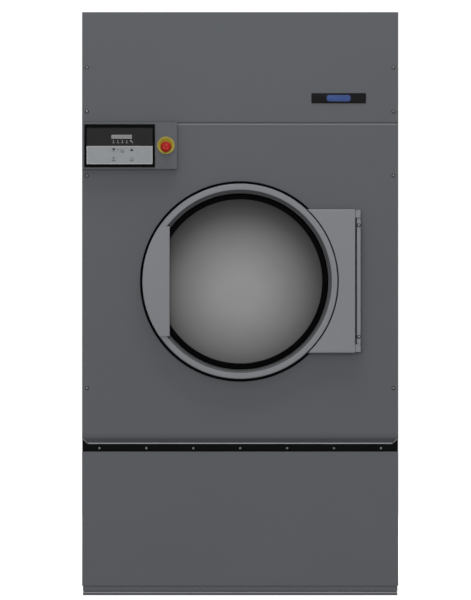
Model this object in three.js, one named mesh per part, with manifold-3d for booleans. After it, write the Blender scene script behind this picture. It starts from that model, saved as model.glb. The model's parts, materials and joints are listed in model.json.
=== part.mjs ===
// Industrial tumble dryer: a tall sheet-steel cabinet with a round glazed door, a control box,
// a fold-down lint door, and the drum, drive, blower and heater inside.
// Millimetres. +Z is up, the front faces -Y and +X is to the right of someone facing the front.
// The origin is on the floor, under the middle of the whole machine.
import * as THREE from 'three';
import { mergeVertices } from 'three/addons/utils/BufferGeometryUtils.js';
import Module from 'manifold-3d';

const wasm = await Module();
wasm.setup();

// Driving dimensions
const cabinetWidth = 1182;
const cabinetHeight = 2180;
const cabinetDepth = 1400;
const stopButtonProud = 85;
const exhaustCollarProud = 60;
const sheet = 2;
const gap = 0.3;
const doorHeight = 1173.6;
const doorRadius = 364.8;
const drumRadius = 540;
const drumLength = 1000;
const roundSteps = 48;

// Places worked out from the driving dimensions
const halfWidth = cabinetWidth / 2;
const frontY = (stopButtonProud - exhaustCollarProud - cabinetDepth) / 2;
const rearY = frontY + cabinetDepth;
const flangeDepth = 25;
const sideStartY = frontY + flangeDepth + gap;
const insideX = halfWidth - sheet - gap;
const baseTop = 32.7;
const panelsBottom = 35.7;
const panelsTop = cabinetHeight - sheet - gap;

// Heights of the front, from the floor up
const lintDoorTop = 537;
const flangeLipBottom = 565.5;
const frontPanelTop = 1763.7;
const headerBottom = 1767.3;

// Drum and rear compartment
const drumFrontY = frontY + 60;
const drumBackY = drumFrontY + drumLength;
const bulkheadY = drumBackY + 19.5;
const bulkheadThick = 3;
const behindBulkheadY = bulkheadY + bulkheadThick + gap;
const shaftRadius = 30;

const material = (color, roughness, metalness) =>
  new THREE.MeshStandardMaterial({ color, roughness, metalness });
const cabinetPaint = material(0x585a5e, 0.45, 0.3);
const doorSteel = material(0x7b7d80, 0.4, 0.6);
const blackPlastic = material(0x0b0b0d, 0.4, 0);
const blackPaint = material(0x161618, 0.5, 0.2);
const blackRubber = material(0x0c0c0d, 0.8, 0);
const keypadFilm = material(0x8b8e91, 0.5, 0);
const keyFilm = material(0x9a9da0, 0.5, 0);
const tintedGlass = material(0x8c8c8c, 0.1, 0);
const yellowPlastic = material(0x8a7c2f, 0.4, 0);
const redPlastic = material(0x982b26, 0.35, 0);
const zincSteel = material(0xa4a6a8, 0.4, 0.8);
const stainless = material(0xb4b6b8, 0.3, 0.9);
const castIron = material(0x3b3d40, 0.6, 0.5);
const motorPaint = material(0x4b5560, 0.5, 0.3);

const group = new THREE.Group();

function add(name, geometry, finish) {
  const mesh = new THREE.Mesh(geometry, finish);
  mesh.name = name;
  group.add(mesh);
}

// Solid helpers: every shape is made by a three.js geometry, and manifold joins and cuts them.
function signedVolume(geometry) {
  const corner = [new THREE.Vector3(), new THREE.Vector3(), new THREE.Vector3()];
  const place = geometry.attributes.position;
  const index = geometry.index;
  let sum = 0;
  for (let i = 0; i < index.count; i += 3) {
    corner.forEach((c, k) => c.fromBufferAttribute(place, index.getX(i + k)));
    sum += corner[0].dot(corner[1].clone().cross(corner[2]));
  }
  return sum / 6;
}

function closed(geometry) {
  const bare = geometry.clone();
  bare.deleteAttribute('normal');
  bare.deleteAttribute('uv');
  const merged = mergeVertices(bare, 1e-4);
  const kept = [];
  const source = merged.index.array;
  for (let i = 0; i < source.length; i += 3) {
    const [a, b, c] = [source[i], source[i + 1], source[i + 2]];
    if (a !== b && b !== c && c !== a) kept.push(a, b, c);
  }
  merged.setIndex(kept);
  if (signedVolume(merged) < 0) {
    const flipped = [];
    for (let i = 0; i < kept.length; i += 3) flipped.push(kept[i], kept[i + 2], kept[i + 1]);
    merged.setIndex(flipped);
  }
  return merged;
}

function solid(geometry) {
  const body = closed(geometry);
  const vertProperties = new Float32Array(body.attributes.position.array);
  const triVerts = new Uint32Array(body.index.array);
  return new wasm.Manifold(new wasm.Mesh({ numProp: 3, vertProperties, triVerts }));
}

function geometryOf(manifold) {
  const mesh = manifold.getMesh();
  const geometry = new THREE.BufferGeometry();
  geometry.setAttribute('position', new THREE.BufferAttribute(mesh.vertProperties, 3));
  geometry.setIndex(new THREE.BufferAttribute(mesh.triVerts, 1));
  return geometry;
}

function join(...geometries) {
  return geometryOf(geometries.map(solid).reduce((whole, next) => whole.add(next)));
}

function cut(geometry, ...tools) {
  return geometryOf(tools.map(solid).reduce((whole, tool) => whole.subtract(tool), solid(geometry)));
}

function overlap(a, b) {
  return geometryOf(solid(a).intersect(solid(b)));
}

function box(x0, x1, y0, y1, z0, z1) {
  const geometry = new THREE.BoxGeometry(x1 - x0, y1 - y0, z1 - z0);
  return geometry.translate((x0 + x1) / 2, (y0 + y1) / 2, (z0 + z1) / 2);
}

// A round piece about an axis along Y through (x, z). Its profile is a list of [radius, y].
function turned(profile, x, z, steps = roundSteps) {
  const points = profile.map(([radius, y]) => new THREE.Vector2(radius, y));
  const onAxis = profile[0][0] === 0 && profile[profile.length - 1][0] === 0;
  if (!onAxis) points.push(points[0].clone());
  return closed(new THREE.LatheGeometry(points, steps)).translate(x, 0, z);
}

const disc = (radius, y0, y1, x, z, steps) =>
  turned([[0, y0], [radius, y0], [radius, y1], [0, y1]], x, z, steps);

const tube = (inner, outer, y0, y1, x, z, steps) =>
  turned([[inner, y0], [outer, y0], [outer, y1], [inner, y1]], x, z, steps);

// An outline of (x, z) points carried along Y, and an outline of (y, z) points carried along X.
function alongY(shape, y0, y1, curveSegments = 12) {
  const geometry = new THREE.ExtrudeGeometry(shape, { depth: y1 - y0, bevelEnabled: false, curveSegments });
  return geometry.rotateX(Math.PI / 2).translate(0, y1, 0);
}

function alongX(shape, x0, x1, curveSegments = 5) {
  const geometry = new THREE.ExtrudeGeometry(shape, { depth: x1 - x0, bevelEnabled: false, curveSegments });
  const turn = new THREE.Matrix4().makeBasis(
    new THREE.Vector3(0, 1, 0), new THREE.Vector3(0, 0, 1), new THREE.Vector3(1, 0, 0));
  return geometry.applyMatrix4(turn).translate(x0, 0, 0);
}

const outline = (points) => new THREE.Shape(points.map(([u, v]) => new THREE.Vector2(u, v)));

// A vertical pin or bore along Z.
function upright(radius, x, y, z0, z1, steps = 20) {
  const geometry = new THREE.CylinderGeometry(radius, radius, z1 - z0, steps);
  return geometry.rotateX(Math.PI / 2).translate(x, y, (z0 + z1) / 2);
}

// A panel folded back on all four sides, open at the back.
function pan(x0, x1, z0, z1, front, back, wall = sheet) {
  const pocket = box(x0 + wall, x1 - wall, front + wall, back + 10, z0 + wall, z1 - wall);
  return cut(box(x0, x1, front, back, z0, z1), pocket);
}

// Base frame: four rails, two cross members and a floor sheet, with two ears for the lint door.
const lintPivotY = frontY + 6;
const lintPivotZ = panelsBottom + 6.3;
const lintPinRadius = 2.5;

function makeBaseFrame() {
  const railInset = 3;
  const railX = halfWidth - railInset;
  const railWide = 44;
  const front = frontY + railInset;
  const back = rearY - railInset;
  const crossY = [-150, 395];
  const crossWide = 50;
  const grooveZ = [8, 17];
  const frame = cut(
    box(-railX, railX, front, back, 0, baseTop),
    box(-railX + railWide, railX - railWide, front + railWide, back - railWide, -1, baseTop + 1),
    box(-railX - 1, railX + 1, front - 1, front + 3, ...grooveZ),
    box(-railX - 1, -railX + 3, front - 1, back + 1, ...grooveZ),
    box(railX - 3, railX + 1, front - 1, back + 1, ...grooveZ));
  const members = crossY.map((y) =>
    box(-railX + railWide - 1, railX - railWide + 1, y, y + crossWide, 4, baseTop));
  const floor = box(-railX + railWide - 1, railX - railWide + 1, front + railWide - 1, back - railWide + 1,
    baseTop - sheet, baseTop);
  const ears = [-1, 1].flatMap((side) => {
    const inner = side * 581;
    const outer = side * 586.5;
    const [x0, x1] = [Math.min(inner, outer), Math.max(inner, outer)];
    const pin = new THREE.CylinderGeometry(lintPinRadius, lintPinRadius, 8, 12);
    pin.rotateZ(Math.PI / 2).translate(side * 587, lintPivotY, lintPivotZ);
    return [
      box(x0, x1, lintPivotY + 10, lintPivotY + 22, baseTop - 2, lintPivotZ + 3),
      box(x0, x1, lintPivotY - 2.5, lintPivotY + 11, lintPivotZ - 2.5, lintPivotZ + 3),
      pin,
    ];
  });
  add('base_frame', join(frame, floor, ...members, ...ears), cabinetPaint);
}

// Side, rear and top panels.
const exhaustX = 410;
const exhaustZ = 260;
const exhaustRadius = 150;

function makeCabinetPanels() {
  const sideEnd = rearY - sheet - gap;
  [['left_side_panel', -1], ['right_side_panel', 1]].forEach(([name, side]) => {
    const xs = [side * halfWidth, side * (halfWidth - sheet)].sort((a, b) => a - b);
    const fold = [side * (halfWidth - 1), side * (halfWidth - flangeDepth)].sort((a, b) => a - b);
    const panel = join(
      box(...xs, sideStartY, sideEnd, panelsBottom, panelsTop),
      box(...fold, sideEnd - sheet, sideEnd, panelsBottom, panelsTop));
    add(name, panel, cabinetPaint);
  });

  const slots = [];
  const slotCount = 6;
  const slotTall = 18;
  for (let i = 0; i < slotCount; i += 1) {
    const z = 1850 + i * 34;
    slots.push(box(-320, 320, rearY - 10, rearY + 10, z, z + slotTall));
  }
  const rear = cut(
    box(-halfWidth, halfWidth, rearY - sheet, rearY, panelsBottom, panelsTop),
    disc(exhaustRadius + 3, rearY - 10, rearY + 10, exhaustX, exhaustZ, 48), ...slots);
  add('rear_panel', rear, cabinetPaint);

  const topPanel = box(-halfWidth, halfWidth, sideStartY, rearY, cabinetHeight - sheet, cabinetHeight);
  add('top_panel', topPanel, cabinetPaint);
}

// Header panel across the top of the front, with its small black nameplate.
function makeHeader() {
  const panel = pan(-halfWidth, halfWidth, headerBottom, cabinetHeight, frontY, frontY + flangeDepth);
  add('header_panel', panel, cabinetPaint);
  const plateX = 368;
  const plateZ = 1858;
  const plateWide = 204;
  const plateTall = 38;
  const plate = box(
    plateX - plateWide / 2, plateX + plateWide / 2, frontY - gap - 2.5, frontY - gap,
    plateZ - plateTall / 2, plateZ + plateTall / 2);
  add('nameplate', plate, blackPlastic);
}

// Front panel: a sheet with the loading hole, rolled inward along its bottom edge into a
// sloping flange and a short lip, with the flange's ends mitred.
const loadingHoleRadius = 332;

function makeFrontPanel() {
  const bendTop = 612;
  const bendEnd = 586;
  const bendDepth = 6;
  const slopeDepth = 24;
  const slopeEnd = 571;
  const section = new THREE.Shape();
  section.moveTo(frontY, frontPanelTop);
  section.lineTo(frontY, bendTop);
  section.quadraticCurveTo(frontY, bendEnd + 9, frontY + bendDepth, bendEnd);
  section.lineTo(frontY + slopeDepth, slopeEnd);
  section.lineTo(frontY + slopeDepth, flangeLipBottom);
  section.lineTo(frontY + slopeDepth + sheet, flangeLipBottom);
  section.lineTo(frontY + slopeDepth + sheet, slopeEnd + 1);
  section.lineTo(frontY + bendDepth + 1.3, bendEnd + 1.6);
  section.quadraticCurveTo(frontY + sheet, bendEnd + 10, frontY + sheet, bendTop);
  section.lineTo(frontY + sheet, frontPanelTop - sheet);
  section.lineTo(frontY + flangeDepth, frontPanelTop - sheet);
  section.lineTo(frontY + flangeDepth, frontPanelTop);
  section.closePath();
  const skin = alongX(section, -halfWidth, halfWidth);
  const folds = [-1, 1].map((side) => {
    const xs = [side * halfWidth, side * (halfWidth - sheet)].sort((a, b) => a - b);
    return box(...xs, frontY + 1, frontY + flangeDepth, bendTop, frontPanelTop - 1);
  });
  const mitres = [-1, 1].map((side) => {
    const corner = [[halfWidth + 0.01, bendEnd], [halfWidth + 30, bendEnd], [halfWidth + 30, 540],
      [halfWidth - 46, 540]];
    return alongY(outline(corner.map(([x, z]) => [side * x, z])), frontY - 10, frontY + 60);
  });
  const hole = disc(loadingHoleRadius, frontY - 10, frontY + 10, 0, doorHeight);
  add('front_panel', cut(join(skin, ...folds), hole, ...mitres), cabinetPaint);

  const stripFace = frontY + 27.6;
  const strip = box(-insideX, insideX, stripFace, stripFace + sheet, 520, 584);
  add('lint_gap_strip', strip, blackPaint);
}

// Lint door: the whole lower panel, hung on the two pins of the base frame.
function makeLintDoor() {
  const depth = 22;
  const door = cut(
    pan(-halfWidth, halfWidth, panelsBottom, lintDoorTop, frontY, frontY + depth),
    box(-halfWidth + sheet, -570, frontY + sheet, frontY + depth + 1, panelsBottom - 1, panelsBottom + 5),
    box(570, halfWidth - sheet, frontY + sheet, frontY + depth + 1, panelsBottom - 1, panelsBottom + 5),
    new THREE.CylinderGeometry(lintPinRadius + gap, lintPinRadius + gap, cabinetWidth + 10, 12)
      .rotateZ(Math.PI / 2).translate(0, lintPivotY, lintPivotZ));
  add('lint_door', door, cabinetPaint);
}

// Inside walls: the ceiling of the lint chamber, the floor under the heater, and the full-height
// bulkhead behind the drum, with the shelf that carries the drum's bearings.
const blowerX = 0;
const blowerZ = 300;
const inletRadius = 140;
const shelfTop = 1110;

function makeInsideWalls() {
  const ceilingZ = 598;
  const ceiling = cut(
    box(-insideX, insideX, frontY + 32, bulkheadY - gap, ceilingZ, ceilingZ + sheet),
    box(-340, 340, -300, 150, ceilingZ - 5, ceilingZ + 10));
  add('lint_chamber_ceiling', ceiling, zincSteel);

  const floor = cut(
    box(-insideX, insideX, sideStartY, rearY - 30, frontPanelTop + gap, headerBottom - 1),
    box(-300, 300, -60, 340, frontPanelTop - 5, headerBottom + 5));
  add('heater_floor', floor, zincSteel);

  const back = bulkheadY + bulkheadThick;
  const shelfEnd = 600;
  const gusset = outline([[back - 1, shelfTop - 8], [shelfEnd, shelfTop - 8], [back - 1, shelfTop - 200]]);
  const wall = cut(
    box(-insideX, insideX, bulkheadY, back, panelsBottom, frontPanelTop - 4),
    disc(50, bulkheadY - 5, back + 5, 0, doorHeight, 32),
    disc(inletRadius + 2, bulkheadY - 5, back + 5, blowerX, blowerZ, 32));
  const bulkhead = join(
    wall,
    box(-110, 110, back - 1, shelfEnd, shelfTop - 10, shelfTop),
    alongX(gusset, -108, -98),
    alongX(gusset, 98, 108));
  add('rear_bulkhead', bulkhead, zincSteel);

  const screenY = 180;
  const screen = cut(
    box(-575, 575, screenY, screenY + 25, 40, 590),
    box(-550, 550, screenY - 1, screenY + 12, 65, 565),
    box(-550, 550, screenY + 13, screenY + 26, 65, 565));
  add('lint_screen', screen, stainless);
}

// Loading collar behind the front panel and the rubber seal in front of it.
const collarRadius = 320;

function makeLoadingCollar() {
  const collar = turned([
    [collarRadius - sheet, frontY + sheet + gap], [380, frontY + sheet + gap],
    [380, frontY + 2 * sheet + gap], [collarRadius, frontY + 2 * sheet + gap],
    [collarRadius, frontY + 75], [collarRadius - sheet, frontY + 75]], 0, doorHeight);
  add('loading_collar', collar, stainless);
  const seal = tube(352, 372, frontY - 12, frontY - gap, 0, doorHeight);
  add('door_seal', seal, blackRubber);
}

// Door: depths are measured forward from the front panel.
const glassRadius = 310;
const glassOpening = 306.5;
const rimInner = 330;
const rimFace = 50;

const doorRing = (profile, steps) =>
  turned(profile.map(([radius, proud]) => [radius, frontY - proud]), 0, doorHeight, steps);

function makeDoor() {
  const thick = 2.5;
  const rim = doorRing([
    [doorRadius, 12.6], [doorRadius, rimFace - 3.5], [doorRadius - 3.5, rimFace], [344, rimFace],
    [rimInner, 38], [rimInner, 22], [rimInner + thick, 22], [rimInner + thick, 37],
    [345, rimFace - thick], [doorRadius - 4.6, rimFace - thick], [doorRadius - thick, rimFace - 4.6],
    [doorRadius - thick, 12.6]]);
  add('door_rim', rim, doorSteel);

  const gasket = doorRing([
    [glassOpening, 31.5], [glassOpening, 35], [311, 39], [325, 39], [rimInner - gap, 35],
    [rimInner - gap, 18], [glassOpening, 18], [glassOpening, 23], [glassRadius + gap, 23],
    [glassRadius + gap, 31.5]]);
  add('door_gasket', gasket, blackRubber);

  const bulge = 22;
  const glassThick = 6;
  const glassEdge = 24.5;
  const rings = 4;
  const face = (proud) => Array.from({ length: rings + 1 }, (_, i) => {
    const radius = glassRadius * (i / rings);
    return [radius, proud + bulge * (1 - (radius / glassRadius) ** 2)];
  });
  const glass = doorRing([...face(glassEdge), ...face(glassEdge + glassThick).reverse()]);
  add('door_glass', glass, tintedGlass);

  add('door_inner_ring', doorRing([[300, 13], [doorRadius - 3, 13], [doorRadius - 3, 15.5], [300, 15.5]]),
    stainless);
}

// Handle plate: a folded steel segment over the left of the rim, gripped at its folded right edge.
function makeHandlePlate() {
  const gripX = -262.7;
  const halfTall = 205.5;
  const wall = 3;
  const top = 60;
  const foldBottom = 50;
  const fineSteps = 96;
  const segment = (inset, y0, y1) => overlap(
    disc(doorRadius - inset, y0, y1, 0, doorHeight, fineSteps),
    box(-doorRadius - 5, gripX - inset, y0 - 5, y1 + 5,
      doorHeight - halfTall + inset, doorHeight + halfTall - inset));
  const cover = segment(0, frontY - top, frontY - rimFace - gap);
  const hollow = segment(wall, frontY - top + wall, frontY - rimFace + 5);
  const fold = box(gripX - wall, gripX, frontY - top + 1, frontY - foldBottom,
    doorHeight - halfTall, doorHeight + halfTall);
  add('handle_plate', cut(join(cover, fold), hollow), doorSteel);
}

// Hinge side of the door: a folded plate with a knuckle at each end, turning on two short pins
// that stand in the ends of the fixed bar.
const hingeX = 442.65;
const hingeProud = 32;
const hingePinRadius = 4;
const hingePlateBottom = 906;
const hingePlateTop = 1442.5;
const barBottom = 940.5;
const barTop = 1408.5;
const knuckleTall = 29;

function makeHinge() {
  const hingeY = frontY - hingeProud;
  const plateRight = 428.4;
  const wall = 3;
  const chamfer = 4;
  const front = frontY - rimFace;
  const back = frontY - 16;
  const section = outline([
    [back, hingePlateBottom], [front + chamfer, hingePlateBottom], [front, hingePlateBottom + chamfer],
    [front, hingePlateTop - chamfer], [front + chamfer, hingePlateTop], [back, hingePlateTop]]);
  const blank = alongX(section, 240, plateRight);
  const rimClear = disc(doorRadius + 0.6, front - 5, back + 5, 0, doorHeight, 96);
  const pocket = cut(
    box(200, plateRight - wall, front + wall, back + 5, hingePlateBottom + chamfer, hingePlateTop - chamfer),
    disc(doorRadius + 0.6 + wall, front - 5, back + 10, 0, doorHeight, 96));
  const knuckle = (z) => [
    box(431, 449.3, frontY - 46, frontY - 20, z, z + knuckleTall),
    box(plateRight - 1, 432, frontY - 40, frontY - 24, z + 2, z + knuckleTall - 2)];
  const lowKnuckle = 910;
  const highKnuckle = barTop + 2.5;
  const bore = upright(hingePinRadius + gap, hingeX, hingeY, hingePlateBottom - 5, hingePlateTop + 5);
  const plate = cut(
    join(cut(blank, rimClear, pocket), ...knuckle(lowKnuckle), ...knuckle(highKnuckle)), bore);
  add('hinge_plate', plate, doorSteel);

  const seat = 15;
  const bar = cut(
    box(436, 449.3, frontY - 44, frontY - gap, barBottom, barTop),
    upright(hingePinRadius + gap, hingeX, hingeY, barBottom - 5, barBottom + seat),
    upright(hingePinRadius + gap, hingeX, hingeY, barTop - seat, barTop + 5));
  add('hinge_bar', bar, doorSteel);
  add('hinge_pin_lower',
    upright(hingePinRadius, hingeX, hingeY, lowKnuckle, barBottom + seat - gap), zincSteel);
  add('hinge_pin_upper',
    upright(hingePinRadius, hingeX, hingeY, barTop - seat + gap, highKnuckle + knuckleTall), zincSteel);
}

// Control box with the display, the keypad and the emergency stop.
const boxFace = 40;
const stopX = -277;
const stopZ = 1675.5;
const keySize = [13.4, 11.4];
const keys = [
  ['key_down', -472, 1665], ['key_enter', -439, 1665], ['key_up', -405, 1665],
  ['key_stop', -472, 1633], ['key_start', -405, 1633]];

function makeControls() {
  const face = frontY - boxFace;
  const housing = cut(
    pan(-590, -236, 1593, 1768, face, frontY - gap),
    box(-565, -335, face - 1, face + 10, 1617, 1740),
    disc(12.5, face - 1, face + 10, stopX, stopZ, 24));
  add('control_box', housing, cabinetPaint);

  const on = face - gap;
  const fieldBottom = 1611;
  const fieldSplit = 1678.4;
  const fieldTop = 1747;
  const bezel = cut(
    box(-582, -318, on - 6, on, 1599, 1760),
    box(-573, -327, on - 10, on + 5, fieldBottom, fieldTop));
  add('control_bezel', bezel, blackPlastic);

  const display = cut(
    box(-573 + gap, -327 - gap, on - 4, on, fieldSplit + gap, fieldTop - gap),
    box(-480, -405, on - 5, on - 2.5, 1706.5, 1720));
  add('display_panel', display, blackPlastic);

  const [keyWide, keyTall] = keySize;
  const keyBox = (x, z, extra, y0, y1) =>
    box(x - keyWide / 2 - extra, x + keyWide / 2 + extra, y0, y1,
      z - keyTall / 2 - extra, z + keyTall / 2 + extra);
  const plate = cut(
    box(-573 + gap, -327 - gap, on - 3, on, fieldBottom + gap, fieldSplit),
    ...keys.map(([, x, z]) => keyBox(x, z, gap, on - 5, on + 2)));
  add('keypad_plate', plate, keypadFilm);
  keys.forEach(([name, x, z]) => add(name, keyBox(x, z, 0, on - 4.2, on - 0.5), keyFilm));
}

function makeEmergencyStop() {
  const on = frontY - boxFace - gap;
  const legendRadius = 32.5;
  const legendZ = stopZ + 5.5;
  const legend = cut(
    disc(legendRadius, on - 3, on, stopX, legendZ, 48),
    disc(15, on - 5, on + 2, stopX, stopZ, 32));
  add('stop_legend', legend, yellowPlastic);

  const stemRadius = 11;
  const stemTop = frontY - 70;
  add('stop_plunger', disc(stemRadius, stemTop, frontY - 28, stopX, stopZ, 24), blackPlastic);

  const headRadius = 20;
  const headFront = frontY - stopButtonProud;
  const headBack = headFront + 22;
  const head = turned([
    [0, headFront], [12, headFront], [17.5, headFront + 3], [headRadius, headFront + 8],
    [headRadius, headBack - 5], [17, headBack], [stemRadius + gap, headBack],
    [stemRadius + gap, stemTop - gap], [0, stemTop - gap]], stopX, stopZ, 28);
  add('stop_head', head, redPlastic);
}

// Drum, with three ribs, its back plate and shaft, two bearings and the large pulley.
const driveY0 = 610;
const driveY1 = 646;
const drumPulleyRadius = 280;
const grooveDepth = 8;

// A pulley with one wide groove, for a belt that runs between its two cheeks.
function pulley(outer, bore, hub, y0, y1, x, z, steps) {
  const cheek = 3;
  const slope = 6;
  const rimInside = outer - grooveDepth - 9;
  const webThick = 8;
  const profile = [
    [bore, y0], [outer, y0], [outer, y0 + cheek], [outer - grooveDepth, y0 + cheek + slope],
    [outer - grooveDepth, y1 - cheek - slope], [outer, y1 - cheek], [outer, y1]];
  if (rimInside > hub + 10) {
    const web = y0 + webThick;
    profile.push([rimInside, y1], [rimInside, web], [hub, web], [hub, y1]);
  }
  profile.push([bore, y1]);
  return turned(profile, x, z, steps);
}

function makeDrum() {
  const wall = 2;
  const mouth = 345;
  const shell = turned([
    [mouth, drumFrontY], [drumRadius, drumFrontY], [drumRadius, drumBackY],
    [drumRadius - wall, drumBackY], [drumRadius - wall, drumFrontY + wall],
    [mouth, drumFrontY + wall]], 0, doorHeight);
  add('drum_shell', shell, stainless);

  const plateY = drumBackY - 7;
  const hubBack = drumBackY + 16;
  const back = turned([
    [0, plateY], [drumRadius - wall - gap, plateY], [drumRadius - wall - gap, plateY + 4],
    [90, plateY + 4], [80, hubBack], [shaftRadius + gap, hubBack],
    [shaftRadius + gap, plateY + 4], [0, plateY + 4]], 0, doorHeight);
  add('drum_back', back, stainless);

  const ribCount = 3;
  const ribTip = 430;
  const ribFoot = 532.5;
  const halfTip = 14;
  const halfFoot = 60;
  const ribStart = drumFrontY + 25;
  const ribEnd = plateY - 10;
  for (let i = 0; i < ribCount; i += 1) {
    const turn = Math.PI / 2 + (i * 2 * Math.PI) / ribCount;
    const at = (radial, across) => [
      radial * Math.cos(turn) - across * Math.sin(turn),
      doorHeight + radial * Math.sin(turn) + across * Math.cos(turn)];
    const trapezoid = (foot, tip, inset) => outline([
      at(foot, inset - halfFoot), at(foot, halfFoot - inset), at(tip, halfTip - inset / 2),
      at(tip, inset / 2 - halfTip)]);
    const hollow = alongY(trapezoid(ribFoot + 1, ribTip + wall, wall + 0.5), ribStart + wall, ribEnd - wall);
    add(`drum_rib_${i + 1}`, cut(alongY(trapezoid(ribFoot, ribTip, 0), ribStart, ribEnd), hollow), stainless);
  }

  add('drum_shaft', disc(shaftRadius, plateY + 4 + gap, 662, 0, doorHeight, 32), zincSteel);

  [['drum_bearing_front', 425], ['drum_bearing_rear', 530]].forEach(([name, y]) => {
    const bearing = cut(
      join(
        box(-95, 95, y, y + 55, shelfTop + gap, shelfTop + 20),
        disc(58, y, y + 55, 0, doorHeight, 32)),
      disc(shaftRadius + gap, y - 5, y + 60, 0, doorHeight, 32));
    add(name, bearing, castIron);
  });

  add('drum_pulley',
    pulley(drumPulleyRadius, shaftRadius + gap, 60, driveY0, driveY1, 0, doorHeight, 44), castIron);
}

// Two-stage belt drive: the motor turns the jackshaft, and the jackshaft turns the drum.
const jackX = -350;
const jackZ = 790;
const jackRadius = 14;
const jackPulleyRadius = 38;
const jackLargeRadius = 170;
const motorX = -350;
const motorZ = 490;
const motorPulleyRadius = 34;
const stageY0 = 560;
const stageY1 = 590;
const beltThick = 6;
const beltSteps = 24;

// A belt: the loop around two pulleys, with straight runs that touch both.
function belt(a, b, y0, y1) {
  const dx = b.x - a.x;
  const dz = b.z - a.z;
  const heading = Math.atan2(dz, dx);
  const lean = Math.acos((a.radius - b.radius) / Math.hypot(dx, dz));
  const loop = (extra) => {
    const path = new THREE.Path();
    path.absarc(a.x, a.z, a.radius + extra, heading + lean, heading - lean + 2 * Math.PI, false);
    path.absarc(b.x, b.z, b.radius + extra, heading - lean, heading + lean, false);
    path.closePath();
    return path;
  };
  const shape = new THREE.Shape(loop(beltThick).getPoints(beltSteps));
  shape.holes.push(new THREE.Path(loop(0).getPoints(beltSteps)));
  return alongY(shape, y0, y1);
}

function makeDrive() {
  const housingEnd = 540;
  const boreStart = 470;
  const bracket = cut(
    join(
      box(jackX - 80, jackX + 80, behindBulkheadY, behindBulkheadY + 12, jackZ - 80, jackZ + 80),
      disc(38, behindBulkheadY + 6, housingEnd, jackX, jackZ, 28)),
    disc(jackRadius + gap, boreStart, housingEnd + 5, jackX, jackZ, 28));
  add('jackshaft_bearing', bracket, castIron);

  const shaft = join(
    disc(jackRadius, boreStart + gap, driveY1 + 10, jackX, jackZ, 24),
    pulley(jackPulleyRadius, 0, 0, driveY0, driveY1, jackX, jackZ, 24));
  add('jackshaft', shaft, castIron);
  add('jackshaft_pulley',
    pulley(jackLargeRadius, jackRadius + gap, 34, stageY0, stageY1, jackX, jackZ, 36), castIron);

  const motorRadius = 95;
  const motorEnd = 545;
  const shaftHole = 12 + gap;
  const motor = cut(
    join(
      box(motorX - 100, motorX + 100, behindBulkheadY, behindBulkheadY + 14, motorZ - 100, motorZ + 100),
      disc(motorRadius, behindBulkheadY + 7, motorEnd, motorX, motorZ, 36),
      box(motorX - 45, motorX + 45, 440, 510, motorZ + motorRadius - 15, motorZ + motorRadius + 25)),
    disc(shaftHole, 490, motorEnd + 5, motorX, motorZ, 24));
  add('drive_motor', motor, motorPaint);
  add('motor_pulley', join(
    disc(12, 490 + gap, stageY1, motorX, motorZ, 24),
    pulley(motorPulleyRadius, 0, 0, stageY0, stageY1, motorX, motorZ, 24)), castIron);

  const grip = 1.4;
  add('drum_belt', belt(
    { x: 0, z: doorHeight, radius: drumPulleyRadius - grooveDepth + grip },
    { x: jackX, z: jackZ, radius: jackPulleyRadius - grooveDepth + grip },
    driveY0 + 10, driveY1 - 10), blackRubber);
  add('motor_belt', belt(
    { x: jackX, z: jackZ, radius: jackLargeRadius - grooveDepth + grip },
    { x: motorX, z: motorZ, radius: motorPulleyRadius - grooveDepth + grip },
    stageY0 + 9.5, stageY1 - 9.5), blackRubber);
}

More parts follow.
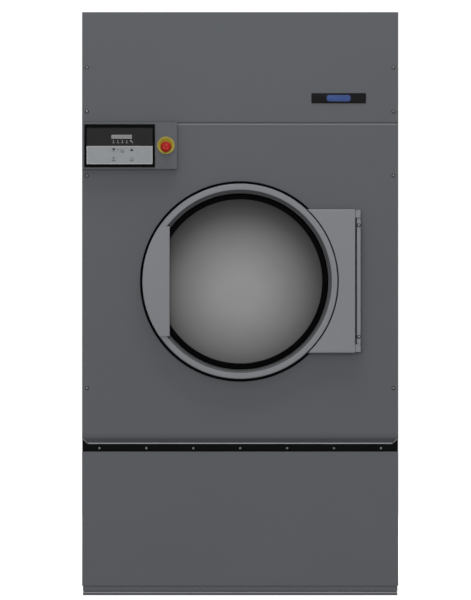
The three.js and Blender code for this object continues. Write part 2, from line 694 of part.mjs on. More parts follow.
// Blower behind the bulkhead, its motor, and the exhaust duct with a hanging back-draft flap.
function makeBlower() {
  const wall = 3;
  const casingRadius = 225;
  const casingBack = 556;
  const outletX = 258;
  const outletBottom = blowerZ - casingRadius;
  const casing = cut(
    join(
      disc(casingRadius, behindBulkheadY, casingBack, blowerX, blowerZ, 48),
      box(blowerX, outletX, behindBulkheadY, casingBack, outletBottom, blowerZ)),
    disc(casingRadius - wall, behindBulkheadY + wall, casingBack - wall, blowerX, blowerZ, 48),
    box(blowerX, outletX + 5, behindBulkheadY + wall, casingBack - wall, outletBottom + wall,
      blowerZ - wall),
    disc(inletRadius, behindBulkheadY - 5, behindBulkheadY + 10, blowerX, blowerZ, 32),
    disc(20, casingBack - 10, casingBack + 5, blowerX, blowerZ, 20));
  add('blower_housing', casing, zincSteel);

  const wheelRadius = 165;
  const wheelFront = 420;
  const wheelBack = 535;
  const bladeCount = 10;
  const blades = Array.from({ length: bladeCount }, (_, i) => {
    const blade = box(wheelRadius - 45, wheelRadius - 2, wheelFront + 2, wheelBack - 2, -2, 2);
    return blade.rotateY((i * 2 * Math.PI) / bladeCount).translate(blowerX, 0, blowerZ);
  });
  const shaftEnd = 640;
  const wheel = join(
    disc(wheelRadius, wheelBack - 5, wheelBack, blowerX, blowerZ, 28),
    tube(wheelRadius - 42, wheelRadius, wheelFront, wheelFront + 4, blowerX, blowerZ, 28),
    disc(28, wheelBack - 45, wheelBack - 2, blowerX, blowerZ, 16),
    disc(12, wheelBack - 5, shaftEnd, blowerX, blowerZ, 16),
    ...blades);
  add('blower_wheel', wheel, castIron);

  const motor = cut(
    join(
      disc(90, casingBack + gap, 700, blowerX, blowerZ, 36),
      box(blowerX - 40, blowerX + 40, 600, 670, blowerZ + 75, blowerZ + 115)),
    disc(12 + gap, casingBack - 5, shaftEnd + 2, blowerX, blowerZ, 20));
  add('blower_motor', motor, motorPaint);

  const ductLeft = outletX + 4;
  const ductRight = 568;
  const ductFront = behindBulkheadY;
  const ductBack = 690;
  const half = 158;
  const collarEnd = rearY + exhaustCollarProud;
  const thin = 2.5;
  const duct = cut(
    join(
      box(ductLeft, ductRight, ductFront, ductBack, exhaustZ - half, exhaustZ + half),
      disc(exhaustRadius, ductBack - 1, collarEnd, exhaustX, exhaustZ, 48)),
    box(ductLeft + thin, ductRight - thin, ductFront + thin, ductBack - thin, exhaustZ - half + thin,
      exhaustZ + half - thin),
    box(ductLeft - 5, ductLeft + 10, ductFront + 6, casingBack - 4, exhaustZ - half + 8, blowerZ - 4),
    disc(exhaustRadius - thin, ductBack - 10, collarEnd + 5, exhaustX, exhaustZ, 48));
  add('exhaust_duct', duct, zincSteel);

  const flapX = ductLeft + 8;
  const flapTop = exhaustZ + half - 14;
  const flap = join(
    box(flapX - 1, flapX + 1, ductFront + 6, ductBack - 6, exhaustZ - half + 12, flapTop),
    disc(4, ductFront + 4, ductBack - 4, flapX, flapTop, 12));
  add('backdraft_flap', flap, zincSteel);
}

// Heater above the drum: a box open at the bottom and at the back, with one bent element inside.
function makeHeater() {
  const floorTop = headerBottom - 1 + gap;
  const boxTop = 2060;
  const boxFront = -150;
  const boxBack = 560;
  const halfBox = 430;
  const wall = 2.5;
  const casing = cut(
    box(-halfBox, halfBox, boxFront, boxBack, floorTop, boxTop),
    box(-halfBox + wall, halfBox - wall, boxFront + wall, boxBack - wall, floorTop - 5, boxTop - wall),
    box(-380, 380, boxBack - 10, boxBack + 10, floorTop + 50, boxTop - 40));
  add('heater_box', casing, zincSteel);

  const elementRadius = 8;
  const passes = 5;
  const pitch = 90;
  const reach = 330;
  const elementZ = 1920;
  const firstY = 20;
  const path = new THREE.CurvePath();
  for (let i = 0; i < passes; i += 1) {
    const y = firstY + i * pitch;
    const side = i % 2 === 0 ? 1 : -1;
    const start = new THREE.Vector3(-side * reach, y, elementZ);
    const end = new THREE.Vector3(side * reach, y, elementZ);
    path.add(new THREE.LineCurve3(start, end));
    if (i < passes - 1) {
      const lean = side * pitch * 0.6;
      path.add(new THREE.CubicBezierCurve3(
        end, end.clone().add(new THREE.Vector3(lean, 0, 0)),
        end.clone().add(new THREE.Vector3(lean, pitch, 0)), end.clone().add(new THREE.Vector3(0, pitch, 0))));
    }
  }
  const round = new THREE.Shape().absarc(0, 0, elementRadius, 0, 2 * Math.PI, false);
  const element = new THREE.ExtrudeGeometry(round, { extrudePath: path, steps: 44, curveSegments: 4 });
  add('heater_element', element, zincSteel);
}

makeBaseFrame();
makeCabinetPanels();
makeHeader();
makeFrontPanel();
makeLintDoor();
makeInsideWalls();
makeLoadingCollar();
makeDoor();
makeHandlePlate();
makeHinge();
makeControls();
makeEmergencyStop();
makeDrum();
makeDrive();
makeBlower();
makeHeater();

export default group;
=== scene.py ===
"""The looks of an industrial tumble dryer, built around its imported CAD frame.

Metres. +Z is up, the front faces -Y and +X is to the right of someone facing the front.
Places come from the frame; sizes that belong only to the looks are named where they are used.
"""
import json
import math
import bmesh
import bpy
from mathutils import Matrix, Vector


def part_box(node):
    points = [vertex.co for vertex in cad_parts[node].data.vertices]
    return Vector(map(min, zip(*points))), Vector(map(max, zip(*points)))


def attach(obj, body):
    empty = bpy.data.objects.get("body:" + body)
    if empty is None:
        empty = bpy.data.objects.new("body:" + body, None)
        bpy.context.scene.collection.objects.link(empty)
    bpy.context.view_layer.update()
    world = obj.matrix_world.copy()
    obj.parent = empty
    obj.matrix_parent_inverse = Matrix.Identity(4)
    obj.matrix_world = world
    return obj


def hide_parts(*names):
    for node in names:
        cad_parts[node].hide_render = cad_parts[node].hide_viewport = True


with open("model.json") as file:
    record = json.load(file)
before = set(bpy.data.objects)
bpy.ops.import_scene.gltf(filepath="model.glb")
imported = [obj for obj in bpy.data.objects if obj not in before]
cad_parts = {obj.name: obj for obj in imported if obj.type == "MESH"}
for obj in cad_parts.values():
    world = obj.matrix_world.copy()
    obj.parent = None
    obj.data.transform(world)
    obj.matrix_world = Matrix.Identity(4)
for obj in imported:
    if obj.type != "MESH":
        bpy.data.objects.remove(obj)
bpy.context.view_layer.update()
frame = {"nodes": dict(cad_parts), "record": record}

MM = 0.001
NODES = frame["nodes"]


# ---- places from the frame
def middle(node):
    low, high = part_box(node)
    return (low + high) / 2


FRONT_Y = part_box("front_panel")[0].y
HALF_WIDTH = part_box("front_panel")[1].x
TOP_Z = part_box("top_panel")[1].z
REAR_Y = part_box("rear_panel")[1].y
PANEL_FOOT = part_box("left_side_panel")[0].z
DOOR_X = middle("door_rim").x
DOOR_Z = middle("door_rim").z
STOP = middle("stop_head")


def proud(distance):
    """The Y of a point that stands this far in front of the front panel."""
    return FRONT_Y - distance


# ---- materials
def linear(value):
    """A displayed 0-255 level as a linear one."""
    s = value / 255
    return s / 12.92 if s <= 0.04045 else ((s + 0.055) / 1.055) ** 2.4


def colour(levels, factor=1.0):
    """Displayed levels as a linear colour, made paler or darker by a factor."""
    return tuple(linear(v) * factor for v in levels) + (1.0,)


def new_material(name):
    made = bpy.data.materials.new(name)
    made.use_nodes = True
    tree = made.node_tree
    shader = tree.nodes["Principled BSDF"]
    place = tree.nodes.new("ShaderNodeTexCoord")
    return made, tree, shader, place.outputs["Object"]


def set_inputs(node, values):
    for socket, value in values.items():
        node.inputs[socket].default_value = value


def noise(tree, where, scale, detail=3.0, stretch=(1, 1, 1)):
    mapping = tree.nodes.new("ShaderNodeMapping")
    mapping.inputs["Scale"].default_value = stretch
    texture = tree.nodes.new("ShaderNodeTexNoise")
    set_inputs(texture, {"Scale": scale, "Detail": detail})
    tree.links.new(where, mapping.inputs["Vector"])
    tree.links.new(mapping.outputs["Vector"], texture.inputs["Vector"])
    return texture.outputs["Fac"]


def ramp(tree, value, stops):
    node = tree.nodes.new("ShaderNodeValToRGB")
    elements = node.color_ramp.elements
    while len(elements) < len(stops):
        elements.new(0.5)
    for element, (position, shade) in zip(elements, stops):
        element.position = position
        element.color = shade
    tree.links.new(value, node.inputs["Fac"])
    return node.outputs["Color"]


def spread(tree, value, low, high, source=(0.3, 0.7)):
    node = tree.nodes.new("ShaderNodeMapRange")
    set_inputs(node, {"From Min": source[0], "From Max": source[1], "To Min": low, "To Max": high})
    tree.links.new(value, node.inputs["Value"])
    return node.outputs["Result"]


def bump(tree, shader, height, strength, distance):
    node = tree.nodes.new("ShaderNodeBump")
    set_inputs(node, {"Strength": strength, "Distance": distance})
    tree.links.new(height, node.inputs["Height"])
    tree.links.new(node.outputs["Normal"], shader.inputs["Normal"])


def coated(name, base, rough, mottle, mottle_scale, grain_scale, grain, grain_depth=0.0001,
           metallic=0.0, coat=0.0, level=0.5):
    """A painted, moulded or cast surface: soft shade variation, uneven gloss and a fine texture."""
    made, tree, shader, where = new_material(name)
    cloud = noise(tree, where, mottle_scale, 4.0)
    tone = ramp(tree, cloud, [(0.3, colour(base, 1 - mottle)), (0.7, colour(base, 1 + mottle))])
    tree.links.new(tone, shader.inputs["Base Color"])
    gloss = noise(tree, where, mottle_scale * 7, 5.0)
    tree.links.new(spread(tree, gloss, rough - 0.02, rough + 0.03), shader.inputs["Roughness"])
    bump(tree, shader, noise(tree, where, grain_scale, 2.0), grain, grain_depth)
    set_inputs(shader, {"Metallic": metallic, "Coat Weight": coat, "Coat Roughness": 0.12,
                        "Specular IOR Level": level})
    return made


def sprayed(name, base, rough=0.5, level=0.3):
    """Enamel sprayed on steel, and the paler and darker copies of it that are painted highlight and painted
    shade.
    """
    return coated(name, base, rough, 0.025, 6.0, 600.0, 0.08, 0.0002, level=level)


def moulded(name, base, rough, mottle, mottle_scale, grain, level, grain_depth=0.0001):
    """Smooth plastic, or a blackened screw head."""
    return coated(name, base, rough, mottle, mottle_scale, 900.0, grain, grain_depth, level=level)


def printed(name, base, mottle=0.05, level=0.5):
    """Ink on a film."""
    return coated(name, base, 0.5, mottle, 300.0, 1500.0, 0.05, level=level)


def brushed(name, base, rough, along, depth=0.00008):
    """Rolled or brushed metal: fine lines along one direction and cloudy reflections."""
    made, tree, shader, where = new_material(name)
    lines = noise(tree, where, 160.0, 4.0, along)
    tone = ramp(tree, lines, [(0.3, colour(base, 0.84)), (0.7, colour(base, 1.1))])
    tree.links.new(tone, shader.inputs["Base Color"])
    clouds = noise(tree, where, 9.0, 4.0)
    tree.links.new(spread(tree, clouds, rough - 0.06, rough + 0.08), shader.inputs["Roughness"])
    bump(tree, shader, lines, 0.25, depth)
    shader.inputs["Metallic"].default_value = 0.9
    return made


CABINET = coated("cabinet_coat", (80, 82, 86), 0.55, 0.02, 2.2, 520, 0.1, 0.0003, level=0.3)
DOOR_COAT = sprayed("door_coat", (113, 115, 118))
# A paler copy of the door's paint, for painted highlights along lit edges.
HIGHLIGHT_COAT = sprayed("painted_highlight_coat", (142, 143, 145))
# A darker copy of the door's paint: painted shade for the rim's inner slope.
THROAT_PAINTED_SHADE = sprayed("throat_painted_shade", (82, 83, 85), 0.6, 0.2)
MOTOR = coated("motor_enamel", (74, 84, 95), 0.4, 0.08, 14, 500, 0.2, 0.0003, coat=0.2)
CAST = coated("cast_iron", (58, 60, 63), 0.6, 0.15, 30, 350, 0.5, 0.0006, metallic=0.4)
BLACK_STRIP = coated("black_strip", (11, 11, 12), 0.6, 0.15, 12, 500, 0.15, 0.0002, level=0.1)
RUBBER = coated("rubber", (5, 5, 6), 0.8, 0.2, 40, 1100, 0.3, 0.0003, level=0.03)
DISPLAY_FILM = coated("display_film", (35, 34, 35), 0.45, 0.05, 25, 1400, 0.05, level=0.12)
KEYPAD = coated("keypad_film", (126, 129, 132), 0.5, 0.03, 20, 1500, 0.08)
KEY_FILM = coated("key_film", (128, 131, 134), 0.5, 0.03, 60, 1500, 0.08)
BLACK_PLASTIC = moulded("black_plastic", (4, 4, 5), 0.4, 0.2, 30, 0.1, 0.08)
BADGE_BLACK = moulded("badge_black", (22, 21, 21), 0.4, 0.1, 30, 0.08, 0.12)
BLUE = moulded("badge_blue", (52, 70, 116), 0.45, 0.06, 60, 0.05, 0.2)
WINDOW = moulded("display_window", (118, 118, 120), 0.45, 0.06, 90, 0.03, 0.2)
PALE_YELLOW = moulded("rim_yellow", (146, 134, 58), 0.5, 0.06, 60, 0.1, 0.25, 0.0002)
YELLOW = moulded("legend_yellow", (132, 114, 22), 0.5, 0.06, 60, 0.1, 0.25, 0.0002)
RED = moulded("stop_red", (138, 18, 14), 0.45, 0.05, 80, 0.08, 0.25)
PALE_RED = moulded("arrow_red", (176, 84, 74), 0.45, 0.05, 80, 0.08, 0.25)
DARK_SCREW = moulded("dark_screw", (30, 31, 33), 0.45, 0.1, 60, 0.1, 0.4)
PALE_PRINT = printed("pale_print", (166, 166, 166))
ICON_PRINT = printed("icon_print", (128, 128, 128))
FAINT_PRINT = printed("faint_print", (66, 67, 69), 0.08)
DARK_PRINT = printed("dark_print", (6, 6, 7), 0.2, 0.1)
ZINC = brushed("zinc_steel", (160, 163, 166), 0.42, (0.3, 1, 1))
STAINLESS = brushed("stainless", (176, 178, 180), 0.3, (1, 0.06, 1))
SCREW_STEEL = brushed("screw_steel", (178, 179, 180), 0.35, (1, 1, 1), 0.00003)

SLOT_LOOKS = {
    "cabinet_paint": CABINET, "door_steel": DOOR_COAT, "black_plastic": BLACK_PLASTIC,
    "black_paint": BLACK_STRIP, "black_rubber": RUBBER, "keypad_film": KEYPAD, "key_film": KEY_FILM,
    "yellow_plastic": YELLOW, "red_plastic": RED, "zinc_steel": ZINC, "stainless": STAINLESS,
    "cast_iron": CAST, "motor_paint": MOTOR,
}


def vector_math(tree, operation, value, other=None):
    node = tree.nodes.new("ShaderNodeVectorMath")
    node.operation = operation
    tree.links.new(value, node.inputs[0])
    if other:
        node.inputs[1].default_value = other
    return node


def glass_material():
    """Smoked pane with painted light: palest a little below its middle and darker towards its edge."""
    made, tree, shader, where = new_material("smoked_pane_painted_light")
    painted_light_drop = 0.044
    reach_radius = 0.36
    # Painted light: the pane's shade at each share of reach_radius from the pale pool's middle.
    levels = [(0.0, 134), (0.17, 133), (0.27, 129), (0.42, 119), (0.58, 105), (0.67, 93), (0.77, 76),
              (0.84, 62), (0.93, 49)]
    shift = vector_math(tree, "SUBTRACT", where, (DOOR_X, proud(0.03), DOOR_Z - painted_light_drop))
    flat = vector_math(tree, "MULTIPLY", shift.outputs["Vector"], (1, 0, 1))
    length = vector_math(tree, "LENGTH", flat.outputs["Vector"])
    reach = spread(tree, length.outputs["Value"], 0.0, 1.0, (0.0, reach_radius))
    tone = ramp(tree, reach, [(at, colour((v, v, v))) for at, v in levels])
    haze = noise(tree, where, 14.0)
    mix = tree.nodes.new("ShaderNodeMix")
    mix.data_type = "RGBA"
    mix.blend_type = "MULTIPLY"
    mix.inputs["Factor"].default_value = 1.0
    tree.links.new(tone, mix.inputs["A"])
    tree.links.new(ramp(tree, haze, [(0.3, (0.97, 0.97, 0.97, 1)), (0.7, (1, 1, 1, 1))]), mix.inputs["B"])
    tree.links.new(mix.outputs["Result"], shader.inputs["Base Color"])
    tree.links.new(spread(tree, haze, 0.16, 0.22), shader.inputs["Roughness"])
    set_inputs(shader, {"Specular IOR Level": 0.12, "Alpha": 0.96})
    return made


GLASS = glass_material()


# ---- mesh helpers
def keep_faces_flat(thing):
    """Lets the large faces set the shading, so that only the rounded edges look rounded."""
    weigh = thing.modifiers.new("flat_faces", "WEIGHTED_NORMAL")
    weigh.mode = "FACE_AREA"
    weigh.weight = 100
    weigh.keep_sharp = True


def mesh_of(bm, name, outward=True):
    if outward:
        bmesh.ops.recalc_face_normals(bm, faces=bm.faces)
    mesh = bpy.data.meshes.new(name)
    bm.to_mesh(mesh)
    bm.free()
    return mesh


def add_piece(name, bm, look, body, replaced=(), sharp=30, flat=False, outward=True):
    """A visible piece made from bm. outward turns its faces outward, and flat shades large faces flat."""
    mesh = mesh_of(bm, name, outward)
    mesh.validate()
    mesh.polygons.foreach_set("use_smooth", [True] * len(mesh.polygons))
    mesh.set_sharp_from_angle(angle=math.radians(sharp))
    piece = bpy.data.objects.new(name, mesh)
    bpy.context.scene.collection.objects.link(piece)
    piece.data.materials.append(look)
    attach(piece, body)
    if replaced:
        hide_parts(*replaced)
    if flat:
        keep_faces_flat(piece)
    return piece


def full_turn(count, start=0.0):
    """Angles spaced evenly around a circle. start shifts them by this share of their spacing."""
    return [2 * math.pi * (i + start) / count for i in range(count)]


def rounded(points, radius, steps=4):
    """A closed outline with its corners turned into arcs. radius, in millimetres, is one value or a
    list with one for each corner."""
    made = []
    count = len(points)
    for i, corner in enumerate(points):
        r = (radius[i] if isinstance(radius, list) else radius) * MM
        here = Vector(corner)
        before = Vector(points[i - 1]) - here
        after = Vector(points[(i + 1) % count]) - here
        angle = before.angle(after)
        if r <= 0 or angle > math.radians(175):
            made.append(tuple(here))
            continue
        reach = min(r / math.tan(angle / 2), 0.45 * min(before.length, after.length))
        r = reach * math.tan(angle / 2)
        start = here + before.normalized() * reach
        end = here + after.normalized() * reach
        centre = here + (before.normalized() + after.normalized()).normalized() * (r / math.sin(angle / 2))
        first = math.atan2(start.y - centre.y, start.x - centre.x)
        last = math.atan2(end.y - centre.y, end.x - centre.x)
        sweep = (last - first + math.pi) % (2 * math.pi) - math.pi
        for k in range(steps + 1):
            turn = first + sweep * k / steps
            made.append((centre.x + r * math.cos(turn), centre.y + r * math.sin(turn)))
    return made


def turned(profile, x, z, steps):
    """A round solid about an axis along Y through (x, z), from a closed list of (radius, y)."""
    bm = bmesh.new()
    rings = []
    for radius, y in profile:
        if radius < 1e-7:
            rings.append([bm.verts.new((x, y, z))])
            continue
        rings.append([bm.verts.new((x + radius * math.cos(t), y, z + radius * math.sin(t)))
                      for t in full_turn(steps)])
    for a, b in zip(rings, rings[1:] + rings[:1]):
        if len(a) == 1 and len(b) == 1:
            continue
        for i in range(steps):
            j = (i + 1) % steps
            corners = [a[i % len(a)], a[j % len(a)], b[j % len(b)], b[i % len(b)]]
            bm.faces.new(list(dict.fromkeys(corners)))
    return bm


def plate(outline, y0, y1, add_to=None, edge=0.0):
    """An (x, z) outline carried along Y from y0 (front) to y1. edge rounds its front, in millimetres."""
    bm = add_to or bmesh.new()
    front = [bm.verts.new((x, y0, z)) for x, z in outline]
    back = [bm.verts.new((x, y1, z)) for x, z in outline]
    face = bm.faces.new(front)
    bm.faces.new(list(reversed(back)))
    count = len(outline)
    for i in range(count):
        j = (i + 1) % count
        bm.faces.new([front[j], front[i], back[i], back[j]])
    if edge > 0:
        bmesh.ops.bevel(bm, geom=list(face.edges), offset=edge * MM, segments=2, profile=0.5, affect="EDGES")
    return bm


def rectangle(x0, x1, z0, z1, radius=0.0):
    corners = [(x0, z0), (x1, z0), (x1, z1), (x0, z1)]
    return rounded(corners, radius) if radius else corners


def slab(bm, x0, x1, y0, y1, z0, z1):
    plate(rectangle(x0, x1, z0, z1), y0, y1, bm)


def circle(x, z, radius):
    return [(x + radius * math.cos(t), z + radius * math.sin(t)) for t in full_turn(16)]


def frame_of(x0, x1, z0, z1, width, y0, y1):
    """A thin flat frame around a rectangle."""
    bm = bmesh.new()
    for outline in (rectangle(x0, x1, z1 - width, z1), rectangle(x0, x1, z0, z0 + width),
                    rectangle(x0, x0 + width, z0 + width, z1 - width),
                    rectangle(x1 - width, x1, z0 + width, z1 - width)):
        plate(outline, y0, y1, bm)
    return bm


def join_rows(bm, rows, closed=False):
    for a, b in zip(rows, rows[1:]):
        count = len(a)
        for i in range(count if closed else count - 1):
            j = (i + 1) % count
            bm.faces.new([a[i], a[j], b[j], b[i]])


def loft(bm, loops):
    """A closed solid through these loops of vertices."""
    join_rows(bm, loops, closed=True)
    bm.faces.new(loops[0])
    bm.faces.new(list(reversed(loops[-1])))


# ---- CAD nodes that stay
def soften(node, look, bevel):
    """Gives a CAD node its material and, through modifiers, rounded edges and smooth curves."""
    thing = NODES[node]
    thing.data.materials.clear()
    thing.data.materials.append(look)
    weld = thing.modifiers.new("weld", "WELD")
    weld.merge_threshold = 1e-5
    if bevel:
        edge = thing.modifiers.new("edge", "BEVEL")
        edge.width = bevel
        edge.segments = 2
        edge.limit_method = "ANGLE"
        edge.angle_limit = math.radians(30)
        edge.use_clamp_overlap = True
    thing.data.polygons.foreach_set("use_smooth", [True] * len(thing.data.polygons))
    split = thing.modifiers.new("split", "EDGE_SPLIT")
    split.split_angle = math.radians(32)
    keep_faces_flat(thing)


def finish_cad_nodes():
    slots = {part["node"]: part["material_slot"] for part in frame["record"]["subparts"]}
    edges = {
        "lint_door": 0.9, "control_box": 1.2, "control_bezel": 1.4, "base_frame": 0.8,
        "left_side_panel": 0.5, "right_side_panel": 0.5, "rear_panel": 0.4, "top_panel": 0.5,
        "hinge_plate": 0.8, "hinge_bar": 1.0, "drum_bearing_front": 2.0, "drum_bearing_rear": 2.0,
        "jackshaft_bearing": 2.0, "rear_bulkhead": 0.5, "heater_box": 0.6, "display_panel": 0.3,
    }
    for node, slot_name in slots.items():
        look = SLOT_LOOKS.get(slot_name, GLASS)
        soften(node, look, edges.get(node, 0.0) * MM)
    NODES["display_panel"].data.materials[0] = DISPLAY_FILM


# ---- camera, lights and floor
def make_camera():
    distance = 30.0
    view_height = 2.2424
    aim = Vector((-0.0175, FRONT_Y, 1.1039))
    sensor = 36.0
    data = bpy.data.cameras.new("camera")
    data.sensor_width = sensor
    data.sensor_fit = "AUTO"
    data.lens = sensor * distance / view_height
    data.clip_end = 300.0
    camera = bpy.data.objects.new("camera", data)
    camera.location = aim + Vector((0, -distance, 0))
    camera.rotation_euler = (math.radians(90), 0, 0)
    bpy.context.scene.collection.objects.link(camera)
    bpy.context.scene.camera = camera


def area_light(name, place, aim, size, power, mirrored=True):
    data = bpy.data.lights.new(name, "AREA")
    data.shape = "RECTANGLE"
    data.size = size[0]
    data.size_y = size[1]
    data.energy = power
    lamp = bpy.data.objects.new(name, data)
    lamp.location = place
    lamp.rotation_euler = (Vector(aim) - Vector(place)).to_track_quat("-Z", "Y").to_euler()
    lamp.visible_glossy = mirrored
    bpy.context.scene.collection.objects.link(lamp)


def make_lights():
    scene = bpy.context.scene
    scene.view_settings.view_transform = "Standard"
    world = bpy.data.worlds.new("studio")
    world.use_nodes = True
    backdrop = world.node_tree.nodes["Background"]
    set_inputs(backdrop, {"Color": (1, 1, 1, 1), "Strength": 0.32})
    scene.world = world
    area_light("key", (-1.6, -6.5, 5.0), (0, FRONT_Y, 1.1), (2.6, 2.6), 45)
    area_light("fill", (0.0, -10.0, 1.8), (0, FRONT_Y, 0.9), (3.5, 3.5), 580, mirrored=False)
    area_light("overhead", (0.0, -2.4, 6.0), (0, FRONT_Y, 1.6), (3.5, 1.5), 120)
    area_light("left", (-8.0, 2.5, 3.0), (0, 0, 1.1), (4.0, 4.0), 480)
    area_light("right", (8.0, 2.5, 3.0), (0, 0, 1.1), (4.0, 4.0), 480)
    area_light("rear", (1.5, 9.0, 4.5), (0, REAR_Y, 1.1), (5.0, 5.0), 620, mirrored=False)


def glowing(name, strength):
    """A stage material without gloss, which gives off white light."""
    look, tree, shader, where = new_material(name)
    set_inputs(shader, {"Specular IOR Level": 0.0, "Emission Color": (1, 1, 1, 1),
                        "Emission Strength": strength})
    return look, tree, shader, where


def stage_piece(name, bm, look, shadow):
    """The camera sees this stage piece, and the machine is neither lit by it nor mirrors it."""
    thing = bpy.data.objects.new(name, mesh_of(bm, name))
    bpy.context.scene.collection.objects.link(thing)
    thing.data.materials.append(look)
    thing.visible_diffuse = False
    thing.visible_glossy = False
    thing.visible_transmission = False
    thing.visible_shadow = shadow


def make_floor():
    reach = 40.0
    under = 0.5 * MM
    corners = [(-reach, -reach), (reach, -reach), (reach, reach), (-reach, reach)]
    bm = bmesh.new()
    bm.faces.new([bm.verts.new((x, y, -under)) for x, y in corners])
    look, tree, shader, where = glowing("floor", 0.975)
    tone = ramp(tree, noise(tree, where, 0.4), [(0.3, (0.3, 0.3, 0.3, 1)), (0.7, (0.32, 0.32, 0.32, 1))])
    tree.links.new(tone, shader.inputs["Base Color"])
    shader.inputs["Roughness"].default_value = 0.9
    stage_piece("floor", bm, look, True)


def make_backdrop():
    """A white shell around everything, wider than any view's camera stands away."""
    bm = bmesh.new()
    bmesh.ops.create_icosphere(bm, subdivisions=4, radius=85.0)
    look, _, shader, _ = glowing("backdrop", 1.05)
    shader.inputs["Base Color"].default_value = (0, 0, 0, 1)
    stage_piece("backdrop", bm, look, False)


# ---- front sheets
FOLD = 3.5 * MM


def folded(name, bm, look, body, replaced, wall=2 * MM):
    """Finishes an open sheet of faces as folded steel, thickened towards its inside."""
    bmesh.ops.recalc_face_normals(bm, faces=bm.faces)
    frontmost = min(bm.faces, key=lambda f: f.calc_center_median().y)
    if frontmost.normal.y > 0:
        bmesh.ops.reverse_faces(bm, faces=bm.faces)
    piece = add_piece(name, bm, look, body, replaced, sharp=40, outward=False)
    thicken = piece.modifiers.new("thicken", "SOLIDIFY")
    thicken.thickness = wall
    thicken.offset = -1
    keep_faces_flat(piece)


def fold_back(bm, rim, outward, end_y, closed=False):
    """Carries a sheet's rim round a bend of radius FOLD, and then straight back to end_y."""
    steps = 4
    rows = [rim]
    for k in range(1, steps + 1):
        turn = math.pi / 2 * k / steps
        row = []
        for vert, way in zip(rim, outward):
            shift = Vector((way[0], 0, way[1])) * (FOLD * math.sin(turn))
            row.append(bm.verts.new(vert.co + shift + Vector((0, FOLD * (1 - math.cos(turn)), 0))))
        rows.append(row)
    rows.append([bm.verts.new((v.co.x, end_y, v.co.z)) for v in rows[-1]])
    join_rows(bm, rows, closed)


def make_header():
    low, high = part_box("header_panel")
    bm = bmesh.new()
    ways = [(-1, -1), (1, -1), (1, 1), (-1, 1)]
    centre = (low + high) / 2
    half = (high - low) / 2 - Vector((FOLD, 0, FOLD))
    rim = [bm.verts.new((centre.x + u * half.x, low.y, centre.z + v * half.z)) for u, v in ways]
    bm.faces.new(rim)
    fold_back(bm, rim, ways, high.y, closed=True)
    folded("header_sheet", bm, CABINET, "cabinet", ["header_panel"])


# Heights and depths of the front sheet's rolled lower edge and of the slope under it.
ROLL_TOP = 612 * MM
ROLL_END = 586 * MM
SLOPE_END = 571 * MM
ROLL_DEPTH = 6 * MM
SLOPE_DEPTH = 24 * MM


def turns_around_hole(corners):
    """Angles about the door's axis, evenly spaced and with one at each of these corners."""
    at_corners = [math.atan2(z - DOOR_Z, x - DOOR_X) for x, z in corners]
    first = at_corners[0]
    turns = {round((t - first) % (2 * math.pi), 6) for t in at_corners}
    turns |= {round(t, 6) for t in full_turn(160)}
    return [t + first for t in sorted(turns)]


def face_around_hole(bm, y, right, top):
    """The flat face between the loading hole and the bends. Returns its outer vertices."""
    hole = 332 * MM
    centre = Vector((DOOR_X, y, DOOR_Z))
    corners = [(right, ROLL_TOP), (right, top), (-right, top), (-right, ROLL_TOP)]
    inner = []
    outer = []
    for turn in turns_around_hole(corners):
        way = Vector((math.cos(turn), 0, math.sin(turn)))
        reach = []
        if abs(way.x) > 1e-6:
            reach.append((math.copysign(right, way.x) - DOOR_X) / way.x)
        if abs(way.z) > 1e-6:
            reach.append(((top if way.z > 0 else ROLL_TOP) - DOOR_Z) / way.z)
        inner.append(bm.verts.new(centre + way * hole))
        outer.append(bm.verts.new(centre + way * min(reach)))
    join_rows(bm, [inner, outer], closed=True)
    return outer


def roll_lower_edge(bm, bottom, low, high, right):
    """Carries the face's bottom row round the roll and down the slope, its corners cut at 45 degrees."""
    bends = 8
    path = []
    for k in range(1, bends + 1):
        t = k / bends
        z = (1 - t) ** 2 * ROLL_TOP + 2 * t * (1 - t) * (ROLL_END + 9 * MM) + t * t * ROLL_END
        path.append((low.y + t * t * ROLL_DEPTH, z))
    lip = low.y + SLOPE_DEPTH
    path += [(lip - 2 * MM, SLOPE_END + 1.6 * MM), (lip, SLOPE_END), (lip, low.z)]
    rows = [bottom]
    for y, z in path:
        limit = high.x - max(0.0, ROLL_END - z)
        row = []
        for vert in bottom:
            x = vert.co.x * high.x / right
            row.append(bm.verts.new((max(-limit, min(limit, x)), y, z)))
        rows.append(row)
    join_rows(bm, rows)


def make_front_sheet():
    """The sheet around the loading hole, with folded sides and top and a rolled lower edge."""
    low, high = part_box("front_panel")
    right = high.x - FOLD
    top = high.z - FOLD
    near = 1e-5
    bm = bmesh.new()
    outer = face_around_hole(bm, low.y, right, top)
    rim = []
    outward = []
    for vert in outer:
        sideways = math.copysign(1, vert.co.x) if abs(vert.co.x) > right - near else 0
        upward = 1 if vert.co.z > top - near else 0
        if sideways or upward:
            rim.append(vert)
            outward.append((sideways, upward))
    fold_back(bm, rim, outward, high.y)
    bottom = sorted((v for v in outer if v.co.z < ROLL_TOP + near), key=lambda v: v.co.x)
    roll_lower_edge(bm, bottom, low, high, right)
    folded("front_sheet", bm, CABINET, "cabinet", ["front_panel"])


def make_flange_painted_highlight():
    """A painted highlight: a pale strip along the edge under the slope and up its two cut corners."""
    low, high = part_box("front_panel")
    lip = low.y + SLOPE_DEPTH
    limit = high.x - (ROLL_END - low.z) - 2 * MM
    bm = plate(rectangle(-limit, limit, low.z + 0.4 * MM, SLOPE_END - 1 * MM), lip - 0.8 * MM,
               lip + 0.1 * MM, edge=0.3)
    corner = high.x - (ROLL_END - SLOPE_END)
    section = ((-4.5, -0.8), (0, -0.8), (0, 0.4), (-4.5, 0.4))
    for side in (-1, 1):
        ends = [[bm.verts.new((side * (x + u * MM), y + v * MM, z)) for u, v in section]
                for x, y, z in ((high.x, low.y + ROLL_DEPTH, ROLL_END), (corner, lip, SLOPE_END))]
        loft(bm, ends)
    add_piece("flange_painted_highlight", bm, HIGHLIGHT_COAT, "cabinet", flat=True)


